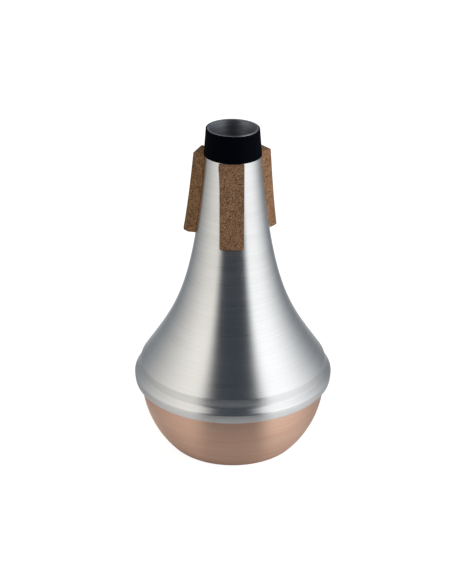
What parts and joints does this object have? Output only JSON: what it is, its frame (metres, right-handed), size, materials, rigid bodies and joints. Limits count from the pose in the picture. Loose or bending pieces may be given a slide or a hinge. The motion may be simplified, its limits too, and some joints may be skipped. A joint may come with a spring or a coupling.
{
  "type": "trumpet straight mute",
  "caption": "Straight mute for a trumpet: flared aluminium body with a rubber tip sleeve, glued cork pads and a copper bowl locked into its rolled bead.",
  "frame": {"origin": "middle of the flat copper end that the mute stands on", "axes": "+Z along the axis from the flat end to the tip, the front cork pad faces -Y, +X to the right of it"},
  "size_m": [0.1, 0.1, 0.1673],
  "materials": {
    "aluminium": "spun and brushed round the axis",
    "copper": "spun and brushed round the axis",
    "rubber": "satin black",
    "cork": "fine granular cork, uncoated"
  },
  "bodies": {
    "root": {"body_shell": "aluminium", "bottom_bowl": "copper", "tip_sleeve": "rubber", "cork_pad_front": "cork", "cork_pad_left": "cork", "cork_pad_right": "cork"}
  },
  "joints": []
}
